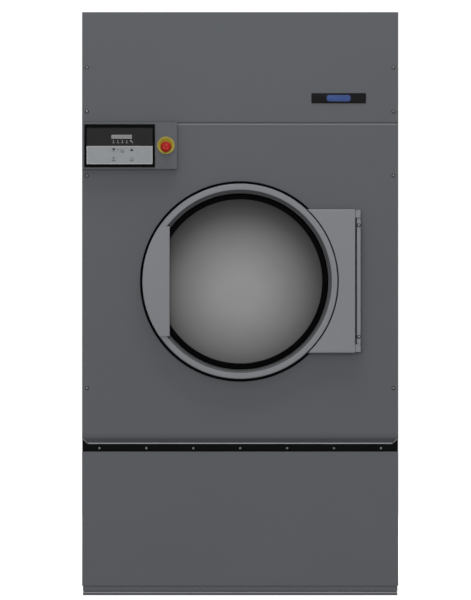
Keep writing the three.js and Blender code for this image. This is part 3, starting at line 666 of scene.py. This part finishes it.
def make_header_seam():
    """A strip behind the seam under the header, and a pale painted highlight just below the seam, on the
    sheet's top bend.
    """
    low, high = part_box("front_panel")
    header_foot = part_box("header_panel")[0].z
    right = high.x - FOLD
    bm = bmesh.new()
    slab(bm, -right, right, low.y + 2.2 * MM, low.y + 3.4 * MM, high.z + 0.1 * MM, header_foot - 0.1 * MM)
    add_piece("header_joint", bm, CABINET, "cabinet", flat=True)
    # Painted highlight: a pale strip in the door's paint where the front sheet bends back at its top.
    limit = high.x - 4 * MM
    bm = plate(rectangle(-limit, limit, high.z - 5.2 * MM, high.z - 2.2 * MM), low.y - 0.5 * MM,
               low.y + 0.1 * MM, edge=0.3)
    add_piece("panel_painted_highlight", bm, DOOR_COAT, "cabinet", flat=True)


# ---- screws
SUNK = 0.1 * MM
HEAD_RADIUS = 4.6 * MM
PANEL_SCREW_X = HALF_WIDTH - 18 * MM


def screw(bm, place, outward, radius):
    """A low domed screw head with a six-sided socket, standing on a face at place."""
    outward = Vector(outward)
    across = outward.cross(Vector((0, 0, 1)) if abs(outward.z) < 0.5 else Vector((0, 1, 0))).normalized()
    up = outward.cross(across)
    turns = full_turn(24)
    tall = radius * 0.5
    socket = radius * 0.42
    rings = [(radius, 0), (radius, tall * 0.35), (radius * 0.86, tall * 0.75), (radius * 0.62, tall * 0.97),
             (None, tall), (None, tall * 0.35)]
    loops = []
    for size, height in rings:
        loop = []
        for turn in turns:
            sector = (turn + math.pi / 6) % (math.pi / 3) - math.pi / 6
            r = size if size is not None else socket * math.cos(math.pi / 6) / math.cos(sector)
            spot = across * (r * math.cos(turn)) + up * (r * math.sin(turn)) + outward * height
            loop.append(bm.verts.new(Vector(place) + spot))
        loops.append(loop)
    join_rows(bm, loops, closed=True)
    bm.faces.new(list(reversed(loops[0])))
    bm.faces.new(loops[-1])


def shade_ring(bm, place, outward, inner, outer):
    """A thin flat ring lying on a face at place."""
    turn_to = Vector((0, 0, 1)).rotation_difference(Vector(outward))
    turns = full_turn(32)
    thick = 0.5 * MM
    loops = []
    for radius, height in ((inner, 0), (outer, 0), (outer, thick), (inner, thick)):
        loop = []
        for turn in turns:
            spot = turn_to @ Vector((radius * math.cos(turn), radius * math.sin(turn), height))
            loop.append(bm.verts.new(Vector(place) + spot))
        loops.append(loop)
    join_rows(bm, loops + loops[:1], closed=True)


def screws(name, places, outward, radius, body="cabinet", look=SCREW_STEEL,
           ringed=False):
    bm = bmesh.new()
    for place in places:
        screw(bm, place, outward, radius)
    add_piece(name, bm, look, body)
    # Black rings around the heads: painted shadow around each screw head.
    if ringed:
        bm = bmesh.new()
        for place in places:
            shade_ring(bm, place, outward, radius * 1.05, radius * 1.55)
        add_piece(name + "_shade_rings", bm, RUBBER, body)


def dark_screws(name, places, outward, radius=HEAD_RADIUS):
    screws(name, places, outward, radius, "cabinet", DARK_SCREW)


def make_front_screws():
    front = (0, -1, 0)
    header_low, header_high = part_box("header_panel")
    panel_low, panel_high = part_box("front_panel")
    heights = [header_low.z + 41 * MM, header_high.z - 207 * MM, panel_low.z + 209 * MM,
               panel_high.z - 195 * MM]
    places = [(side * PANEL_SCREW_X, FRONT_Y + SUNK, z) for side in (-1, 1) for z in heights]
    screws("panel_screws", places, front, HEAD_RADIUS, ringed=True)

    pitch = 175.5 * MM
    strip_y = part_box("lint_gap_strip")[0].y + SUNK
    strip_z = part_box("lint_door")[1].z + 12 * MM
    screws("strip_screws", [(i * pitch, strip_y, strip_z) for i in range(-3, 4)], front, 4.4 * MM)

    low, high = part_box("hinge_bar")
    inset = 26 * MM
    places = [(middle("hinge_bar").x, low.y + SUNK, z) for z in (low.z + inset, high.z - inset)]
    screws("hinge_bar_screws", places, front, HEAD_RADIUS, ringed=True)


def make_control_box_screws():
    low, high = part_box("control_box")
    y = FRONT_Y - 12 * MM
    xs = (low.x + 23 * MM, high.x - 19 * MM)
    for name, z, upward in (("low", low.z + SUNK, -1), ("high", high.z - SUNK, 1)):
        dark_screws("control_box_" + name + "_screws", [(x, y, z) for x in xs], (0, 0, upward), 4.2 * MM)


def make_body_screws():
    """Screws of the side, top and rear panels. The side and top ones are sunk almost flush."""
    flush = 2 * MM
    low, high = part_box("right_side_panel")
    rows = 6
    inset = 90 * MM
    heights = [low.z + inset + i * (high.z - low.z - 2 * inset) / (rows - 1) for i in range(rows)]
    depths = (low.y + 30 * MM, high.y - 30 * MM)
    for name, sign in (("left", -1), ("right", 1)):
        x = sign * (HALF_WIDTH - flush)
        dark_screws(name + "_side_screws", [(x, y, z) for y in depths for z in heights], (sign, 0, 0))

    low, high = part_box("top_panel")
    centre = middle("top_panel").y
    columns = (-PANEL_SCREW_X, 0, PANEL_SCREW_X)
    depths = (low.y + 24 * MM, centre, high.y - 24 * MM)
    places = [(x, y, TOP_Z - flush) for x in columns for y in depths if x or y != centre]
    dark_screws("top_screws", places, (0, 0, 1))

    rear_y = REAR_Y - SUNK
    inner_x = 220 * MM
    places = [(sign * PANEL_SCREW_X, rear_y, z) for sign in (-1, 1) for z in heights]
    places += [(sign * inner_x, rear_y, z) for sign in (-1, 1) for z in (heights[0], heights[-1])]
    dark_screws("rear_screws", places, (0, 1, 0))


# ---- door
def door_ring(profile, radius=0.0, rounding=4):
    """A ring about the door's axis, from (radius, distance in front of the panel) in millimetres."""
    spun = [(r * MM, proud(p * MM)) for r, p in profile]
    return turned(rounded(spun, radius, rounding), DOOR_X, DOOR_Z, 160)


def make_rim():
    rim = door_ring(
        [(364.8, 12.6), (364.8, 42), (362.4, 50), (342.2, 50), (342.2, 47.4), (360, 47.4), (362.3, 42),
         (362.3, 12.6)],
        [0.8, 3.0, 2.2, 1.4, 0.5, 2.0, 2.0, 0.8])
    add_piece("rim_ring", rim, DOOR_COAT, "door", ["door_rim"])
    # The rim's inner slope is painted darker than its face: painted shade.
    throat = door_ring(
        [(345.0, 47.2), (341.6, 47.2), (332.2, 24.4), (329.8, 24.4), (329.8, 22), (335, 22)],
        [0.5, 0.5, 1.5, 0.5, 0.5, 1.5])
    add_piece("rim_throat", throat, THROAT_PAINTED_SHADE, "door")


def make_pane():
    gasket = door_ring(
        [(306.5, 31.5), (306.5, 36.5), (329.2, 33.5), (329.2, 18), (306.5, 18), (306.5, 23), (310.3, 23),
         (310.3, 31.5)],
        [0.6, 3.0, 4.0, 1.0, 1.0, 0.6, 0.4, 0.4], rounding=6)
    add_piece("gasket_ring", gasket, RUBBER, "door", ["door_gasket"])

    bulge = 22.0
    edge = 309.8
    rings = 14

    def face(start):
        return [(edge * i / rings, start + bulge * (1 - (i / rings) ** 2)) for i in range(rings + 1)]

    pane = door_ring(face(24.7) + list(reversed(face(30.3))))
    add_piece("smoked_pane_painted_light", pane, GLASS, "door", ["door_glass"])


def make_inner_ring():
    inner = door_ring([(300, 13), (361.8, 13), (361.8, 15.5), (300, 15.5)], 1.0)
    add_piece("inner_ring", inner, STAINLESS, "door", ["door_inner_ring"])
    places = [door_point(t, 343 * MM, proud(13.1 * MM)) for t in full_turn(12, 0.5)]
    screws("inner_ring_screws", places, (0, 1, 0), 4 * MM, "door")


def make_mouth():
    # A rubber seal, widened past the rim so that its black band around the rim is also painted shadow.
    seal = door_ring([(352, 0.4), (374.2, 0.4), (374.2, 11.9), (352, 11.9)], [0.5, 0.5, 1.5, 3.0])
    add_piece("seal_and_painted_shadow", seal, RUBBER, "cabinet", ["door_seal"])
    collar = door_ring(
        [(318, -2.3), (318, -75), (320, -75), (320, -4.3), (380, -4.3), (380, -2.3)],
        [3.0, 0.8, 0.8, 2.0, 0.8, 0.8])
    add_piece("mouth_collar", collar, STAINLESS, "cabinet", ["loading_collar"])


def make_handle():
    """A folded plate over the left of the rim. Its section, from the rim's edge to the folded grip,
    is carried up the plate while its left end follows the rim's circle."""
    low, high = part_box("handle_plate")
    grip = high.x - DOOR_X
    half = (high.z - low.z) / 2
    radius = 364.6 * MM
    top = 60 * MM
    wall = 3.2 * MM
    under = top - wall
    fold_end = 50 * MM
    stations = 60
    bm = bmesh.new()
    loops = []
    for k in range(stations + 1):
        z = -half + 2 * half * k / stations
        left = -math.sqrt(radius ** 2 - z ** 2)
        corners = [(left, under), (left, top), (grip, top), (grip, fold_end), (grip - wall, fold_end),
                   (grip - wall, under)]
        section = rounded(corners, [0.3, 3, 7, 1, 1, 0.5], 6)
        loops.append([bm.verts.new((DOOR_X + x, proud(p), DOOR_Z + z)) for x, p in section])
    join_rows(bm, loops, closed=True)
    ends = [bm.faces.new(loops[0]), bm.faces.new(list(reversed(loops[-1])))]
    edges = {edge for face in ends for edge in face.edges}
    bmesh.ops.bevel(bm, geom=list(edges), offset=0.7 * MM, segments=2, profile=0.5, affect="EDGES",
                    clamp_overlap=True)
    add_piece("grip_plate", bm, DOOR_COAT, "door", ["handle_plate"])

    # Painted shadow: small black wedges at the grip's ends, where it overhangs the rim's slope.
    bm = bmesh.new()
    near = grip - 0.5 * MM
    wedge = [(grip - 17 * MM, 0), (near, 0), (near, 5 * MM)]
    for end in (-1, 1):
        plate([(DOOR_X + x, DOOR_Z + end * (half - 0.5 * MM + z)) for x, z in wedge], proud(under),
              proud(fold_end - 8 * MM), bm)
    add_piece("grip_painted_shadows", bm, RUBBER, "door")


def make_leaf_gap_shadow():
    """A thin black strip between the rim and the hinge leaf, concentric with the rim: painted shadow in the
    gap.
    """
    low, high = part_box("hinge_plate")
    half = (high.z - low.z) / 2
    stations = 40
    heights = [half - 2 * half * k / stations for k in range(stations + 1)]
    arcs = [[(DOOR_X + math.sqrt(radius ** 2 - z ** 2), DOOR_Z + z) for z in heights]
            for radius in (365.0 * MM, 368.0 * MM)]
    # Painted shadow: a black strip laid where the gap between rim and leaf falls in shade.
    bm = plate(arcs[0] + arcs[1][::-1], low.y - 0.3 * MM, low.y + 0.1 * MM)
    add_piece("leaf_gap_shadow", bm, RUBBER, "door")


# ---- back and base
def make_louvres():
    """A pressed hood over each slot of the rear panel, its ends sloping back to the sheet."""
    slots = 6
    slot_tall = 18 * MM
    lowest = 1850 * MM
    pitch = 34 * MM
    half = 328 * MM
    shoulder = 314 * MM
    depth = 8 * MM
    wall = 1.2 * MM
    bends = 6
    fall = slot_tall + 3 * MM
    for i in range(slots):
        top = lowest + i * pitch + fall
        bm = bmesh.new()
        loops = []
        for x, out in ((-half, 0.15), (-shoulder, 1.0), (shoulder, 1.0), (half, 0.15)):
            outer = []
            for k in range(bends + 1):
                t = k / bends
                outer.append((REAR_Y + wall + depth * out * math.sin(math.pi / 2 * t), top - fall * t))
            inner = [(y - wall, z) for y, z in reversed(outer)]
            loops.append([bm.verts.new((x, y, z)) for y, z in outer + inner])
        loft(bm, loops)
        add_piece("louvre_" + str(i + 1), bm, CABINET, "cabinet", sharp=40)


def make_base_upstand():
    """An upstand inside the cabinet's foot that closes the gap under the panels."""
    low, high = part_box("base_frame")
    wall = 1.2 * MM
    x = HALF_WIDTH - 3.2 * MM
    start = low.y + 60 * MM
    end = high.y - 2 * MM
    bottom = PANEL_FOOT - 2.7 * MM
    top = PANEL_FOOT + 14 * MM
    bm = bmesh.new()
    slab(bm, -x, wall - x, start, end, bottom, top)
    slab(bm, x - wall, x, start, end, bottom, top)
    slab(bm, -x + wall, x - wall, end - wall, end, bottom, top)
    add_piece("base_upstand", bm, CABINET, "cabinet", flat=True)


def make_base_front():
    """Painted shadow and painted highlight strips in the base rail's groove, and a lip behind the seam over
    the rail.
    """
    low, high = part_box("base_frame")
    limit = high.x - 3.4 * MM
    groove = low.y + 3 * MM
    # Painted shadow where the groove's upper face is in shade, and painted highlight where its lower face is
    # lit.
    strips = (("groove_painted_shadow", 14.1, 16.1, RUBBER, "black_rubber"),
              ("groove_painted_highlight", 9.6, 13.2, HIGHLIGHT_COAT, "door_steel"))
    for name, z0, z1, look, slot in strips:
        bm = plate(rectangle(-limit, limit, z0 * MM, z1 * MM), groove - 0.9 * MM, groove - 0.1 * MM,
                   edge=0.3)
        add_piece(name, bm, look, "cabinet", flat=True)
    bm = bmesh.new()
    slab(bm, -limit, limit, low.y + 0.4 * MM, low.y + 1.6 * MM, PANEL_FOOT - 3.2 * MM,
         PANEL_FOOT - 1.2 * MM)
    add_piece("seam_lip", bm, CABINET, "cabinet", flat=True)


# ---- drum
HOLES_AROUND = 90
HOLE_PITCH = 2 * math.pi / HOLES_AROUND
HOLE_RADIUS = 4 * MM


def door_point(turn, radius, y):
    """A point at this angle and distance from the axis that the door and the drum share."""
    return (DOOR_X + radius * math.cos(turn), y, DOOR_Z + radius * math.sin(turn))


def drum_circle(bm, radius, y):
    return [bm.verts.new(door_point(HOLE_PITCH * a / 2, radius, y)) for a in range(2 * HOLES_AROUND)]


def perforated(bm, along, place, reach):
    """A closed band of cells with a round hole in each.

    place turns cell coordinates into a point, and reach gives a hole's half sizes, in cells, at a row.
    Returns the band's first and last rows of vertices.
    """
    ring = [(-1, -1), (0, -1), (1, -1), (1, 0), (1, 1), (0, 1), (-1, 1), (-1, 0)]
    turns = [math.atan2(b, a) for a, b in ring]
    grid = {}

    def node(a, b):
        key = (a % (2 * HOLES_AROUND), b)
        if key not in grid:
            grid[key] = bm.verts.new(place(key[0] / 2, b / 2))
        return grid[key]

    for i in range(HOLES_AROUND):
        for j in range(along):
            u = i + 0.5
            v = j + 0.5
            wide, tall = reach(v)
            outer = [node(2 * i + 1 + a, 2 * j + 1 + b) for a, b in ring]
            inner = [bm.verts.new(place(u + wide * math.cos(t), v + tall * math.sin(t))) for t in turns]
            join_rows(bm, [outer, inner], closed=True)
    return [[grid[(a, b)] for a in range(2 * HOLES_AROUND)] for b in (0, 2 * along)]


def make_drum_shell():
    low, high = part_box("drum_shell")
    radius = (high.x - low.x) / 2
    mouth = 345 * MM
    plain = 55 * MM
    along = 26
    pitch = (high.y - low.y - 2 * plain) / along
    bm = bmesh.new()
    first, last = perforated(
        bm, along, lambda u, v: door_point(HOLE_PITCH * u, radius, low.y + plain + pitch * v),
        lambda v: (HOLE_RADIUS / (HOLE_PITCH * radius), HOLE_RADIUS / pitch))
    rows = [(mouth, 12), (mouth, 4), (mouth + 1.2 * MM, 1.2), (mouth + 4 * MM, 0), (radius - 8 * MM, 0),
            (radius - 2.4 * MM, 2.4), (radius, 8)]
    join_rows(bm, [drum_circle(bm, r, low.y + depth * MM) for r, depth in rows] + [first], closed=True)
    join_rows(bm, [last, drum_circle(bm, radius, high.y)], closed=True)
    folded("perforated_shell", bm, STAINLESS, "drum", ["drum_shell"], wall=1.6 * MM)


def make_drum_back():
    """The perforated back plate with its pressed centre, the hub behind it and the hub's bolts."""
    low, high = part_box("drum_back")
    outer = (high.x - low.x) / 2
    inside = 250 * MM
    rings = 8
    step = (outer - 12 * MM - inside) / rings
    bm = bmesh.new()
    first, last = perforated(
        bm, rings, lambda u, v: door_point(HOLE_PITCH * u, inside + step * v, low.y),
        lambda v: (HOLE_RADIUS / (HOLE_PITCH * (inside + step * v)), HOLE_RADIUS / step))
    pressed = 16 * MM
    rows = [(70 * MM, pressed), (200 * MM, pressed), (235 * MM, 0)]
    centre = [drum_circle(bm, r, low.y - p) for r, p in rows]
    bm.faces.new(centre[0])
    join_rows(bm, centre + [first], closed=True)
    join_rows(bm, [last, drum_circle(bm, outer, low.y)], closed=True)
    folded("perforated_back", bm, STAINLESS, "drum", ["drum_back"])

    shaft_low, shaft_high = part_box("drum_shaft")
    bore = (shaft_high.x - shaft_low.x) / 2 + 0.3 * MM
    start = low.y + 2 * MM
    profile = [(bore, start), (90 * MM, start), (80 * MM, high.y), (bore, high.y)]
    hub = turned(rounded(profile, 1.5), DOOR_X, DOOR_Z, 64)
    add_piece("drum_hub", hub, CAST, "drum")

    places = [door_point(t, 120 * MM, low.y - pressed + SUNK) for t in full_turn(6)]
    screws("hub_bolts", places, (0, -1, 0), 9 * MM, "drum")


def make_ribs():
    """Three lifters with rounded crests, whose ends slope down to the shell."""
    foot = 532.5 * MM
    tip = 430 * MM
    half_foot = 60 * MM
    half_tip = 15 * MM
    slope = 70 * MM
    stations = [(0.0, 0.30), (0.02, 0.45), (0.25, 0.72), (0.6, 0.93), (1.0, 1.0)]
    count = 3
    for i in range(count):
        name = "drum_rib_" + str(i + 1)
        low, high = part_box(name)
        turn = math.pi / 2 + i * 2 * math.pi / count
        up = Vector((math.cos(turn), math.sin(turn)))
        side = Vector((-up.y, up.x))
        spots = [(low.y + slope * at, rise) for at, rise in stations]
        spots += [(high.y - slope * at, rise) for at, rise in reversed(stations)]
        bm = bmesh.new()
        loops = []
        for y, rise in spots:
            crest = foot - (foot - tip) * rise
            shoulder = half_foot - (half_foot - half_tip) * rise
            outline = rounded([(-half_foot, foot), (half_foot, foot), (shoulder, crest), (-shoulder, crest)],
                              [1, 1, 13, 13], 6)
            loops.append([bm.verts.new((DOOR_X + a * side.x + r * up.x, y, DOOR_Z + a * side.y + r * up.y))
                          for a, r in outline])
        loft(bm, loops)
        add_piece(name + "_lifter", bm, STAINLESS, "drum", [name], sharp=45)


# ---- controls
def make_badge():
    low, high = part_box("nameplate")
    bm = plate(rectangle(low.x, high.x, low.z, high.z, 3), low.y, high.y, edge=0.6)
    add_piece("badge_plate", bm, BADGE_BLACK, "cabinet", ["nameplate"])
    centre = middle("nameplate")
    half_wide = 45 * MM
    half_tall = 12 * MM
    outline = rectangle(centre.x - half_wide, centre.x + half_wide, centre.z - half_tall,
                        centre.z + half_tall, 10)
    bm = plate(outline, low.y - 0.8 * MM, low.y + 0.1 * MM, edge=0.3)
    add_piece("badge_bar", bm, BLUE, "cabinet")


WINDOW_X = (-480 * MM, -405 * MM)
WINDOW_Z = (1706.5 * MM, 1720 * MM)


def make_window():
    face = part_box("display_panel")[0].y
    x0, x1 = WINDOW_X
    z0, z1 = WINDOW_Z
    gap = 0.4 * MM
    bm = plate(rectangle(x0 + gap, x1 - gap, z0 + gap, z1 - gap, 1), face + 0.2 * MM,
               face + 1.4 * MM, edge=0.3)
    add_piece("display_window", bm, WINDOW, "cabinet")
    bm = frame_of(x0, x1, z0, z1, 0.9 * MM, face - 0.5 * MM, face + 0.1 * MM)
    add_piece("window_frame", bm, PALE_PRINT, "cabinet", flat=True)


def make_icons():
    """Four generic marks under the window, each a dot over a post and a bar, and an arrow."""
    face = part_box("display_panel")[0].y
    y0 = face - 0.25 * MM
    y1 = face + 0.1 * MM
    z = WINDOW_Z[0] - 11.7 * MM
    unit = 1.3 * MM
    pitch = 16.6 * MM
    first = WINDOW_X[0] + 7 * MM
    bm = bmesh.new()
    for i in range(4):
        x = first + i * pitch
        plate(circle(x, z + 2.8 * unit, 1.3 * unit), y0, y1, bm)
        for half, foot, head in ((3.4, -4, -2.9), (0.7, -2.6, 1.2)):
            bar = rectangle(x - half * unit, x + half * unit, z + foot * unit, z + head * unit)
            plate(bar, y0, y1, bm)
    x = first + 4 * pitch
    arrow = [(-3.5, 4.5), (1.5, 4.5), (0.2, 3.0), (5.5, -3.0), (4.0, -4.2), (-1.2, 1.6), (-2.6, 0.2)]
    plate([(x + u * unit, z + v * unit) for u, v in arrow], y0, y1, bm)
    add_piece("display_icons", bm, ICON_PRINT, "cabinet")


# Outlines of each key's symbol, in millimetres from the key's middle.
SYMBOLS = {
    "key_down": [[(-6.0, 4.2), (6.0, 4.2), (0, -4.8)]],
    "key_up": [[(-6.0, -4.2), (6.0, -4.2), (0, 4.8)]],
    "key_enter": [[(-4.8, -0.8), (4.0, -0.8), (4.0, 2.4), (2.6, 2.4), (2.6, 0.6), (-4.8, 0.6)],
                  [(-5.6, -0.1), (-2.8, 2.2), (-2.8, -2.4)]],
    "key_stop": [[(-2.6, -2.2), (2.6, -2.2), (2.6, 3.0), (-2.6, 3.0)]],
    "key_start": [[(-2.4, -2.8), (3.2, 0.4), (-2.4, 3.6)]],
}


def make_keys():
    for name, shapes in SYMBOLS.items():
        low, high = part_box(name)
        centre = middle(name)
        bm = plate(rectangle(low.x, high.x, low.z, high.z, 2.2), low.y, high.y, edge=0.35)
        add_piece(name + "_cap", bm, KEY_FILM, name, [name])
        bm = bmesh.new()
        for shape in shapes:
            plate([(centre.x + u * MM, centre.z + v * MM) for u, v in shape], low.y - 0.4 * MM,
                  low.y + 0.1 * MM, bm)
        ink = DARK_PRINT if name in ("key_down", "key_up") else FAINT_PRINT
        add_piece(name + "_symbol", bm, ink, name)


def make_keypad_marks():
    """A dash under three of the keys, a pale border around the keypad and a small lamp."""
    low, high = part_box("keypad_plate")
    face = low.y
    half = 6.5 * MM
    bm = bmesh.new()
    for name in ("key_enter", "key_stop", "key_start"):
        x = middle(name).x
        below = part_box(name)[0].z - 3.4 * MM
        plate(rectangle(x - half, x + half, below - 1.3 * MM, below + 1.3 * MM, 1.2),
              face - 0.25 * MM, face + 0.1 * MM, bm)
    add_piece("key_dashes", bm, FAINT_PRINT, "cabinet")

    bm = frame_of(low.x, high.x, low.z, high.z, 2.2 * MM, face - 0.4 * MM, face + 0.1 * MM)
    add_piece("keypad_border", bm, PALE_PRINT, "cabinet", flat=True)

    lamp_x = (middle("key_down").x + middle("key_enter").x) / 2
    profile = [(0, 0.2), (2.0, 0.2), (2.0, -0.5), (1.0, -1.0), (0, -1.1)]
    bm = turned([(r * MM, face + y * MM) for r, y in profile], lamp_x, middle("key_down").z, 24)
    add_piece("keypad_lamp", bm, FAINT_PRINT, "cabinet")


def make_legend_rim():
    low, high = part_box("stop_legend")
    centre = middle("stop_legend")
    outer = (high.x - low.x) / 2
    inside = outer - 8 * MM
    crest = low.y - 3.2 * MM
    profile = rounded([(inside, high.y - 0.5 * MM), (outer, high.y), (outer, crest), (outer - 3 * MM, crest),
                       (outer - 4.5 * MM, low.y - 1.6 * MM), (inside, low.y - 0.2 * MM)],
                      [0, 0.3, 1.2, 1.0, 0.8, 0], 3)
    bm = turned(profile, centre.x, centre.z, 96)
    add_piece("legend_rim", bm, PALE_YELLOW, "cabinet")


def make_plunger():
    low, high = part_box("stop_plunger")
    radius = (high.x - low.x) / 2
    profile = rounded([(0, high.y), (radius, high.y), (radius, low.y), (0, low.y)],
                      [0, 0.8, 0.8, 0], 3)
    bm = turned(profile, STOP.x, STOP.z, 64)
    add_piece("plunger_stem", bm, BLACK_PLASTIC, "stop_plunger", ["stop_plunger"])


def make_mushroom():
    """The red head, with a blind bore behind that fits over the plunger's stem."""
    low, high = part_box("stop_head")
    stem_low, stem_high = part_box("stop_plunger")
    clearance = 0.3 * MM
    head = (high.x - low.x) / 2
    bore = (stem_high.x - stem_low.x) / 2 + clearance
    floor = stem_low.y - clearance
    front = low.y
    back = high.y
    outline = [(0, front), (12.5 * MM, front + 0.4 * MM), (17.5 * MM, front + 2.6 * MM),
               (head, front + 7.5 * MM), (head, back - 5 * MM), (head - 3 * MM, back), (bore, back),
               (bore, floor), (0, floor)]
    profile = rounded(outline, [0, 6, 4, 4, 2, 1, 0.4, 0.4, 0], 5)
    bm = turned(profile, STOP.x, STOP.z, 96)
    add_piece("mushroom", bm, RED, "stop_head", ["stop_head"])


def make_twist_arrows():
    """Three curved arrows on the head, that show which way it twists."""
    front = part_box("stop_head")[0].y
    inner = 7.0 * MM
    outer = 8.6 * MM
    barb = 1.6 * MM
    steps = 10

    def at(radius, turn):
        return (STOP.x + radius * math.cos(turn), STOP.z + radius * math.sin(turn))

    bm = bmesh.new()
    for start in (30, 150, 270):
        turns = [math.radians(start + 62 * k / steps) for k in range(steps + 1)]
        root = turns[-1]
        tip = math.radians(start + 84)
        arc = [at(outer, t) for t in turns] + [at(inner, t) for t in reversed(turns)]
        point = [at(inner - barb, root), at(outer + barb, root), at((inner + outer) / 2, tip)]
        for outline in (arc, point):
            plate(outline, front + 0.05 * MM, front + 0.8 * MM, bm)
    add_piece("twist_arrows", bm, PALE_RED, "stop_head")


# ---- everything
make_camera()
make_lights()
make_floor()
make_backdrop()
finish_cad_nodes()
make_header()
make_front_sheet()
make_flange_painted_highlight()
make_header_seam()
make_front_screws()
make_control_box_screws()
make_body_screws()
make_rim()
make_pane()
make_inner_ring()
make_mouth()
make_handle()
make_leaf_gap_shadow()
make_louvres()
make_base_upstand()
make_base_front()
make_drum_shell()
make_drum_back()
make_ribs()
make_badge()
make_window()
make_icons()
make_keys()
make_keypad_marks()
make_legend_rim()
make_plunger()
make_mushroom()
make_twist_arrows()
